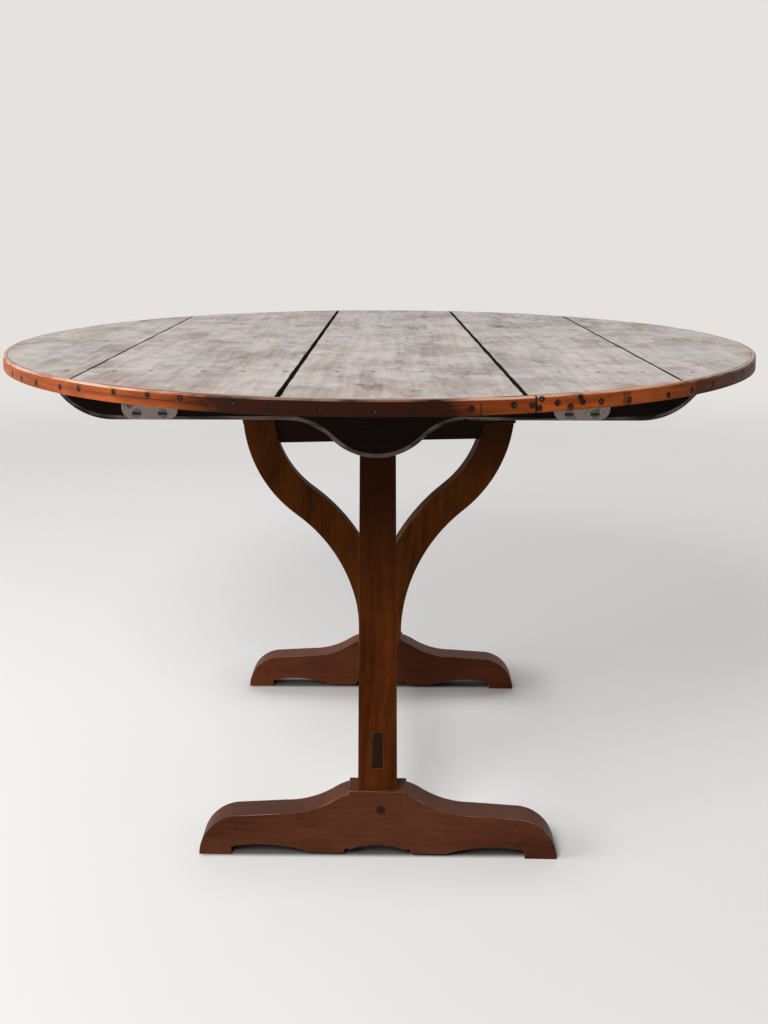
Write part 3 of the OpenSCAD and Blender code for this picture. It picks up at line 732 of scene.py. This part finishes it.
def dressBand():
    strip = makeBand()
    tree = treeOf(bandNails)
    subdivideNear(strip, tree, bandLook["finer"], 2)
    rounded = bandLook["topArris"] * 1.02
    stains, wears = [], []
    for vertex in strip.data.vertices:
        p = vertex.co
        away = tree.find(p)[2]
        radius = math.hypot(p.x, p.y)
        angle = math.atan2(p.y, p.x)
        outward = Vector((p.x / radius, p.y / radius, 0))
        stains.append(min(1.0, 2.2 * max(0.0, 1 - away / bandLook["stainRadius"])))
        wears.append(1.0 if radius > topRadius - rounded and p.z > topZ - rounded else 0.0)
        depth = bandLook["dimple"] * max(0.0, 1 - away / bandLook["dimpleRadius"]) ** 2
        if radius > topRadius - 1 * mm:
            p -= outward * (depth + bandLook["wave"] * (1 - wander(angle * 0.5, 1.0)) * 0.5)
        if p.z > topZ - 3 * mm:
            p.z += bandLook["rise"] * (wander(angle * 0.4, 4.0) - 1)
    addAttribute(strip, "stain", stains)
    addAttribute(strip, "wear", wears)
    smoothed(strip, 40)
    dress(strip, bandFinish(), "top", "band_wood", "edge_band")
    print("edge band", len(strip.data.polygons), "faces")


for turn, rise in jointNails:
    angle = math.radians(band["jointAngle"] + turn)
    bandNails.append(Vector((topRadius * math.cos(angle), topRadius * math.sin(angle),
                             (topZ + underZ) / 2 + rise)))
dressBand()

# Nails: one forged head, copied with a little turn and size of its own
nailLook = {"radius": 2.9 * mm, "height": 1.5 * mm, "sides": 12, "sunk": 0.5 * mm, "arris": 0.6 * mm,
            "flat": 1.1 * mm, "dome": 0.3 * mm, "uneven": 0.12, "tilt": 0.12, "sizes": (0.86, 1.12),
            "depths": (0.9, 1.3), "topScale": 0.8, "bandScale": 0.86}


def nailHead():
    bpy.ops.mesh.primitive_cylinder_add(vertices=nailLook["sides"], radius=nailLook["radius"],
                                        depth=nailLook["height"])
    head = bpy.context.object
    editMode()
    selectParts(head, "edges", lambda edge: all(v.co.z > 0 for v in edge.verts))
    bpy.ops.mesh.bevel(offset=nailLook["arris"], segments=2)
    selectParts(head, "faces", lambda face: face.normal.z > 0.99)
    bpy.ops.mesh.inset(thickness=nailLook["flat"], depth=nailLook["dome"])
    objectMode()
    for vertex in head.data.vertices:
        vertex.co.x *= 1 + nailLook["uneven"] * math.sin(3 * vertex.co.y / nailLook["radius"])
    return head


def dressNails(name, places, outwardOf, scale, finish, node):
    head = nailHead()
    copies = []
    for place in places:
        one = newObject(name, head.data.copy())
        outward = outwardOf(place)
        tilt = outward + Vector([dice.uniform(-1, 1) for _ in range(3)]) * nailLook["tilt"]
        one.rotation_mode = "QUATERNION"
        one.rotation_quaternion = tilt.to_track_quat("Z", "Y")
        one.scale = [scale * dice.uniform(*nailLook["sizes"])] * 3
        depth = nailLook["sunk"] * dice.uniform(*nailLook["depths"]) + nailLook["height"] / 2
        one.location = place - outward * depth
        copies.append(one)
    bpy.data.objects.remove(head)
    joined = joinPieces(name, copies)
    smoothed(joined, 40)
    dress(joined, finish, "top", "nail_iron", node)


nailFinish = ironFinish("nailIron", metals["nail"])
topNailFinish = ironFinish("topNailIron", metals["topNail"])
dressNails("top_nail_heads", topNails, lambda place: Vector((0, 0, 1)), nailLook["topScale"],
           topNailFinish, "top_nails")
dressNails("band_nail_heads", bandNails, lambda place: Vector((place.x, place.y, 0)).normalized(),
           nailLook["bandScale"], nailFinish, "band_nails")
print("nails dressed")

# Shaped battens: a worn chamfer runs along the outer lower edge, pale with wear and a painted reflection of
# the floor
battenLook = {"chamfer": 7.0 * mm, "arris": 0.8 * mm}


def dressShapedBatten(name, side, finish):
    piece = copiedNode(name, name + "_wood")
    low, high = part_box(name)
    outerY = high.y if side > 0 else low.y

    # an edge of the outer face that isn't against the boards
    def onLowerRim(edge):
        if len(edge.link_faces) != 2:
            return False
        if any(abs(v.co.y - outerY) > 0.05 * mm or v.co.z > high.z - 1 * mm for v in edge.verts):
            return False
        return [abs(face.normal.y) < 0.2 for face in edge.link_faces].count(True) == 1

    activate(piece)
    editMode()
    selectParts(piece, "edges", onLowerRim)
    bpy.ops.mesh.bevel(offset=battenLook["chamfer"], segments=1, clamp_overlap=False)
    objectMode()
    roundedArrises(piece, finish, battenLook["arris"], 2, 30)
    # the chamfer's slanting faces get the pale worn colour as well: wear, and a painted reflection of the
    # pale floor
    wear = piece.data.attributes["wear"]
    for face in piece.data.polygons:
        if 0.3 < abs(face.normal.y) < 0.9 and face.area > 1 * mm ** 2:
            for k in face.vertices:
                wear.data[k].value = 1.0
    dress(piece, finish, "top", "batten_wood", name)


dressShapedBatten("near_batten", -1, woodFinish("battenWood", woods["batten"]))
dressShapedBatten("far_batten", 1, woodFinish("farBattenWood", woods["batten"], (0.7, 0.3, 0.1)))
print("shaped battens dressed")

# Plain wooden pieces: node, body, record slot, wood, arris radius and grain shift
plainPieces = [
    ("middle_batten", "top", "batten_wood", "batten", 1.5 * mm, (0.2, 0.9, 0)),
    ("rest_blocks", "top", "batten_wood", "batten", 1.5 * mm, (0.5, 0.1, 0)),
    ("near_post", "base", "post_wood", "post", 2.0 * mm, (0, 0, 0)),
    ("far_post", "base", "post_wood", "post", 2.0 * mm, (0.8, 0.4, 0.9)),
    ("stretcher", "base", "post_wood", "rail", 1.2 * mm, (0.3, 0, 0.6)),
    ("beam", "base", "post_wood", "rail", 1.6 * mm, (0.9, 0.5, 0)),
    ("lyre_left_arm", "lyre", "lyre_wood", "lyre", 2.2 * mm, (0, 0, 0)),
    ("lyre_right_arm", "lyre", "lyre_wood", "lyre", 2.2 * mm, (0.5, 0.8, 0.4)),
    ("lyre_rail", "lyre", "lyre_wood", "rail", 1.6 * mm, (1.1, 0.2, 0.7)),
]
# Oil and dust have darkened the wood round each foot peg, and the uprights are darkened under the top as
# painted shade: the heights where that painted shade starts and is full, and its share
pegStain = {"from": 4 * mm, "to": 9 * mm, "wobble": 5 * mm}
paintedShadeUnderTop = {"near_post": (260 * mm, 580 * mm, 0.80), "lyre_left_arm": (480 * mm, 640 * mm, 0.40),
            "lyre_right_arm": (460 * mm, 580 * mm, 0.90)}


# the foot pegs' ends lie at the same place in both feet
def footStain(finish):
    low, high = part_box("foot_pegs")
    x, z = finish.axis("X"), finish.axis("Z")
    away = finish.length(finish.vector(x - (low.x + high.x) / 2, z - (low.z + high.z) / 2, 0.0))
    ragged = finish.noise(finish.coords, 190.0, 3.0) * pegStain["wobble"]
    return 1 - (away + ragged - pegStain["wobble"] / 2).between(pegStain["from"], pegStain["to"])


# painted shade on the post and lyre arms, darker towards the top, which shades them
def shadeUnderTopOf(name):
    if name not in paintedShadeUnderTop:
        return None
    low, high, share = paintedShadeUnderTop[name]
    return lambda finish: finish.axis("Z").between(low, high) * share


# Feet: a rounded end, a sloping arm, the swelling and the pad, over two side arches and a middle one,
# with a small round quirk where the middle starts. "turn" is in degrees.
footLook = {"length": 524 * mm, "thickness": 39 * mm, "turn": -1.0, "padHalf": 42 * mm, "padHeight": 100 * mm,
            "armHeight": 64 * mm, "endRadius": 60 * mm, "heel": 47 * mm, "archHeight": 17 * mm,
            "archRadius": 215 * mm, "archIn": 45 * mm, "middleHeight": 18 * mm, "middleRadius": 109 * mm,
            "relief": 5 * mm, "swellRun": 120 * mm, "crownIn": 24 * mm, "crownDrop": 1 * mm,
            "hollowShare": 0.62, "quirkRadius": 4 * mm, "quirkHeight": 8 * mm, "quirkOut": 3 * mm,
            "step": 2 * mm, "arris": 2.6 * mm}


# height of the circle's upper or lower half over x
def onCircle(x, centreX, centreZ, radius, side=1):
    return centreZ + side * math.sqrt(max(0.0, radius ** 2 - (x - centreX) ** 2))


# the upper outline, at x from the foot's middle
def footTop(x):
    look = footLook
    if x <= look["padHalf"]:
        return look["padHeight"]
    crownX = look["padHalf"] - look["crownIn"]
    crownZ = look["padHeight"] - look["crownDrop"]
    turn = 2 * math.atan((crownZ - look["armHeight"]) / look["swellRun"])
    radii = look["swellRun"] / math.sin(turn)
    hollow = look["hollowShare"] * radii
    start = crownX + look["swellRun"]
    endX = look["length"] / 2 - look["endRadius"]
    if x < crownX + (radii - hollow) * math.sin(turn):
        return onCircle(x, crownX, crownZ - radii + hollow, radii - hollow)
    if x < start:
        return onCircle(x, start, look["armHeight"] + hollow, hollow, -1)
    if x < endX:
        return look["armHeight"] + (look["endRadius"] - look["armHeight"]) * (x - start) / (endX - start)
    return onCircle(x, endX, 0, look["endRadius"])


# the lower outline, with the heel on the floor
def footLow(x):
    look = footLook
    inner = look["length"] / 2 - look["heel"]
    if x > inner:
        return 0.0
    arch = onCircle(x, inner - look["archIn"], look["archHeight"] - look["archRadius"], look["archRadius"])
    middle = onCircle(x, 0, look["middleHeight"] - look["middleRadius"], look["middleRadius"])
    quirk = onCircle(x, look["padHalf"] + look["quirkOut"], look["quirkHeight"], look["quirkRadius"])
    inQuirk = abs(x - look["padHalf"] - look["quirkOut"]) < look["quirkRadius"]
    return max(look["relief"], arch, middle, quirk if inQuirk else 0.0)


# columns stand close together on the curves, and a hair apart where the outline steps
def makeFoot(node):
    look = footLook
    half = look["length"] / 2
    hair = 0.03 * mm
    places = [look["step"] * k for k in range(int(half / look["step"]) + 1)]
    places += [look["padHalf"], look["padHalf"] + hair, half - look["heel"], half - look["heel"] + hair]
    places += [look["padHalf"] + look["quirkOut"] + look["quirkRadius"] * k / 6 for k in range(-6, 7)]
    places += [half - look["endRadius"] * (1 - math.sin(math.radians(3 * k))) for k in range(31)]
    columns = [(x, footLow(x), footTop(x)) for x in sorted(set(places))]
    columns = [(-x, low, high) for x, low, high in reversed(columns[1:])] + columns
    foot = makeUpright(node + "_wood", columns, look["thickness"])
    low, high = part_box(node)
    settle(foot, (0, (low.y + high.y) / 2, 0), look["turn"])
    return foot


# the rail lies 6 degrees askew, and both ends of its body are drawn out until they meet the arms
railLook = {"turn": 6.0, "bodyFrom": 150 * mm, "bodyTo": 168 * mm, "longer": 11.1 * mm}


def lengthenRail(rail):
    turn = math.radians(railLook["turn"])
    along = Vector((math.cos(turn), math.sin(turn), 0))
    for vertex in rail.data.vertices:
        reach = vertex.co.dot(along)
        if railLook["bodyFrom"] < abs(reach) < railLook["bodyTo"]:
            vertex.co += along * math.copysign(railLook["longer"], reach)


def dressWood(piece, name, body, slotName, wood, arris, shift, stainAndShade=None):
    finish = woodFinish(name + "Finish", woods[wood], shift, stainAndShade)
    roundedArrises(piece, finish, arris)
    markEndGrain(piece, woods[wood]["along"])
    dress(piece, finish, body, slotName, name)


for name, wood, shift in [("near_foot", "foot", (0, 0, 0)), ("far_foot", "farFoot", (1.3, 0.6, 0.2))]:
    dressWood(makeFoot(name), name, "base", "foot_wood", wood, footLook["arris"], shift, footStain)
for name, body, slotName, wood, arris, shift in plainPieces:
    piece = copiedNode(name, name + "_wood")
    if name == "lyre_rail":
        lengthenRail(piece)
    dressWood(piece, name, body, slotName, wood, arris, shift, shadeUnderTopOf(name))
print("wooden pieces dressed")

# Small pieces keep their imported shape
pegFinish = woodFinish("pegWood", woods["peg"])
for name, finish in [("foot_pegs", pegFinish), ("beam_pegs", pegFinish), ("lyre_pegs", pegFinish),
                     ("lower_pin", nailFinish), ("upper_pin", nailFinish), ("pivot_washer", nailFinish)]:
    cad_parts[name].data.materials.clear()
    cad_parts[name].data.materials.append(finish.material)

# Angle plates: an upright leg with rounded corners, and a leg under the boards
plateLook = {"width": 74 * mm, "outerCorner": 16 * mm, "innerCorner": 12 * mm, "thickness": 2 * mm,
             "steps": 8, "arris": 0.4 * mm, "screwX": 17 * mm, "screwUp": 8 * mm, "screwOut": 12 * mm,
             "headRadius": 6.0 * mm, "headDepth": 1.2 * mm, "headProud": 0.5 * mm, "headSides": 28,
             "slotWidth": 3.4 * mm, "slotDepth": 0.4 * mm}
plateFinish = ironFinish("plateSteel", metals["plate"])
screwFinish = ironFinish("plateScrewSteel", metals["screw"])
plateLow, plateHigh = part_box("angle_plates")
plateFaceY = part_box("near_batten")[0].y - plateLook["thickness"]
# each plate's ends, and the side of its outer end: 1 where that is the lower x
plateEnds = [(plateLow.x, plateLow.x + plateLook["width"], 1),
             (plateHigh.x - plateLook["width"], plateHigh.x, -1)]


def makePlate(lowX, highX, outer):
    look = plateLook
    corners = (look["outerCorner"], look["innerCorner"])[::outer]
    columns = []
    for side, corner in zip((1, -1), corners):
        for k in range(look["steps"] + 1):
            turn = math.radians(90 * k / look["steps"])
            columns.append(((lowX if side > 0 else highX) + side * corner * (1 - math.cos(turn)),
                            plateLow.z + corner * (1 - math.sin(turn)), plateHigh.z))
    plate = makeUpright("plate", sorted(columns), look["thickness"])
    settle(plate, (0, plateFaceY + look["thickness"] / 2, 0))
    editMode()
    selectAll()
    bpy.ops.mesh.bisect(plane_co=(0, 0, plateHigh.z - look["thickness"]), plane_no=(0, 0, 1))
    selectParts(plate, "faces", lambda face: face.normal.y < -0.9
                and face.calc_center_median().z > plateHigh.z - look["thickness"])
    bpy.ops.mesh.extrude_region_move(TRANSFORM_OT_translate={"value": (0, plateLow.y - plateFaceY, 0)})
    objectMode()
    return plate


# a slotted countersunk head, which faces up until it is turned
def slottedHead():
    look = plateLook
    bpy.ops.mesh.primitive_cylinder_add(vertices=look["headSides"], radius=look["headRadius"],
                                        depth=look["headDepth"], location=(0, 0, 0))
    head = bpy.context.object
    editMode()
    for side in (-1, 1):
        selectAll()
        bpy.ops.mesh.bisect(plane_co=(0, side * look["slotWidth"] / 2, 0), plane_no=(0, 1, 0))
    selectParts(head, "faces", lambda face: face.normal.z > 0.9
                and abs(face.calc_center_median().y) < look["slotWidth"] / 2)
    bpy.ops.mesh.extrude_region_move(TRANSFORM_OT_translate={"value": (0, 0, -look["slotDepth"])})
    objectMode()
    return head


def dressPlates():
    look = plateLook
    sunk = look["headDepth"] / 2 - look["headProud"]
    plates, heads = [], []
    for lowX, highX, outer in plateEnds:
        plates.append(makePlate(lowX, highX, outer))
        for side in (-1, 1):
            x = (lowX + highX) / 2 + side * look["screwX"]
            intoBatten = ((x, plateFaceY + sunk, plateLow.z + look["screwUp"]), 90)
            intoBoards = ((x, plateLow.y + look["screwOut"], plateHigh.z - look["thickness"] + sunk), 180)
            for place, turn in (intoBatten, intoBoards):
                head = slottedHead()
                head.location = place
                head.rotation_euler = (math.radians(turn), 0, 0)
                heads.append(head)
    plate = joinPieces("angle_plates_steel", plates)
    roundedArrises(plate, plateFinish, look["arris"], 2, 40)
    dress(plate, plateFinish, "top", "plate_steel", "angle_plates")
    screws = joinPieces("plate_screw_heads", heads)
    # dirt and painted shade lie in the slots of the screws that show from the near side
    dirtAndShadeShares = [0.0] * len(screws.data.vertices)
    for face in screws.data.polygons:
        if face.normal.y < -0.9 and face.center.y > plateFaceY - 0.3 * mm:
            for k in face.vertices:
                dirtAndShadeShares[k] = 1.0
    addAttribute(screws, "dirt", dirtAndShadeShares)
    smoothed(screws, 40)
    dress(screws, screwFinish, "top", "nail_iron", "plate_screws")


dressPlates()
print("plates dressed")

# Studio: a pale floor that turns into the background far from the table. Where it is shown it glows a little,
# but less within "contact" of the feet, and a painted contact shadow darkens it under them and within "gap"
# of them.
studio = {"floorRadius": 60.0, "fade": (1.6, 4.5), "background": (0.785, 0.762, 0.744),
          "floor": (0.45, 0.44, 0.43), "shownFloor": (0.715, 0.70, 0.688), "paintedShadowUnderFoot": (0.12, 0.11, 0.105),
          "glow": (0.90, 0.885, 0.87), "glowShare": 0.36, "worldStrength": 0.11, "footHalf": 253 * mm,
          "footPlace": 281 * mm, "footDepth": 11 * mm, "gap": 13 * mm, "contact": 130 * mm}


# 1 for rays that show the studio itself, in the picture or in a reflection
def shownRays(finish):
    paths = [finish.node("ShaderNodeLightPath", {}, {}, kind)
             for kind in ("Is Camera Ray", "Is Glossy Ray", "Is Transmission Ray")]
    return paths[0].most(paths[1]).most(paths[2])


def blended(finish, share, first, second):
    return finish.node("ShaderNodeMixShader", {}, {0: share, 1: first, 2: second})


# a shader of one colour
def plain(finish, kind, colour, **others):
    return finish.node("ShaderNode" + kind, {}, dict(others, Color=colour))


def floorFinish():
    finish = Finish("paleFloor")
    finish.sockets(Base_Color=studio["floor"], Roughness=0.9, Specular_IOR_Level=0.1)
    besideX = (finish.axis("X").size() - studio["footHalf"]).most(0.0)
    besideY = ((finish.axis("Y").size() - studio["footPlace"]).size() - studio["footDepth"]).most(0.0)
    beside = finish.length(finish.vector(besideX, besideY, 0.0))
    # painted contact shadow under the feet
    dark = plain(finish, "BsdfDiffuse", studio["paintedShadowUnderFoot"])
    pale = plain(finish, "BsdfDiffuse", studio["shownFloor"])
    shownWithPaintedShadow = blended(finish, beside.between(0.0, studio["gap"]), dark, pale)
    lit = blended(finish, shownRays(finish), Wire(finish, finish.shader.outputs[0]), shownWithPaintedShadow)
    glowShare = shownRays(finish) * beside.between(0.0, studio["contact"]) * studio["glowShare"]
    close = blended(finish, glowShare, lit, plain(finish, "Emission", studio["glow"]))
    away = finish.length(finish.coords).between(*studio["fade"])
    surface = blended(finish, away, close, plain(finish, "Emission", studio["background"]))
    finish.plug(finish.nodes["Material Output"].inputs["Surface"], surface)
    return finish


bpy.ops.mesh.primitive_circle_add(vertices=96, radius=studio["floorRadius"], fill_type="NGON",
                                  location=(0, 0, 0))
floor = bpy.context.object
floor.name = "studio_floor"
floor.data.materials.append(floorFinish().material)

sky = Finish("paleStudio", bpy.data.worlds)
ambient = plain(sky, "Background", studio["background"], Strength=studio["worldStrength"])
backdrop = plain(sky, "Background", studio["background"])
sky.plug(sky.nodes["World Output"].inputs["Surface"], blended(sky, shownRays(sky), ambient, backdrop))
bpy.context.scene.world = sky.material
print("studio set up")

lamps = [
    {"name": "frontSoftbox", "at": (-1.1, -2.6, 2.7), "aim": (0, 0, 0.3), "size": (1.4, 1.4), "watts": 125},
    {"name": "leftSoftbox", "at": (-2.8, -0.8, 1.3), "aim": (0, 0, 0.5), "size": (1.4, 1.4), "watts": 60},
    {"name": "rightSoftbox", "at": (2.8, -1.6, 1.9), "aim": (0, 0, 0.4), "size": (1.5, 1.5), "watts": 5},
    {"name": "backSoftbox", "at": (0.1, 2.5, 2.6), "aim": (0, 0, 0.5), "size": (5.5, 1.8), "watts": 66},
]
for lamp in lamps:
    light = bpy.data.lights.new(lamp["name"], "AREA")
    light.shape = "RECTANGLE"
    light.size, light.size_y = lamp["size"]
    light.energy = lamp["watts"]
    holder = newObject(lamp["name"], light)
    holder.location = lamp["at"]
    holder.rotation_euler = (Vector(lamp["aim"]) - Vector(lamp["at"])).to_track_quat("-Z", "Y").to_euler()

# Camera: the photograph's place, with its rise as lens shift
shot = {"place": (0.0173, -1.7469, 0.9247), "pitch": 84.0, "roll": -0.0013, "yaw": 0.0062, "lens": 36.85,
        "shiftY": -0.1758}
camera = newObject("camera", bpy.data.cameras.new("camera"))
camera.location = shot["place"]
camera.rotation_euler = (math.radians(shot["pitch"]), shot["roll"], shot["yaw"])
camera.data.lens = shot["lens"]
camera.data.sensor_width = 36
camera.data.shift_y = shot["shiftY"]
bpy.context.scene.camera = camera
bpy.context.scene.view_settings.view_transform = "Standard"
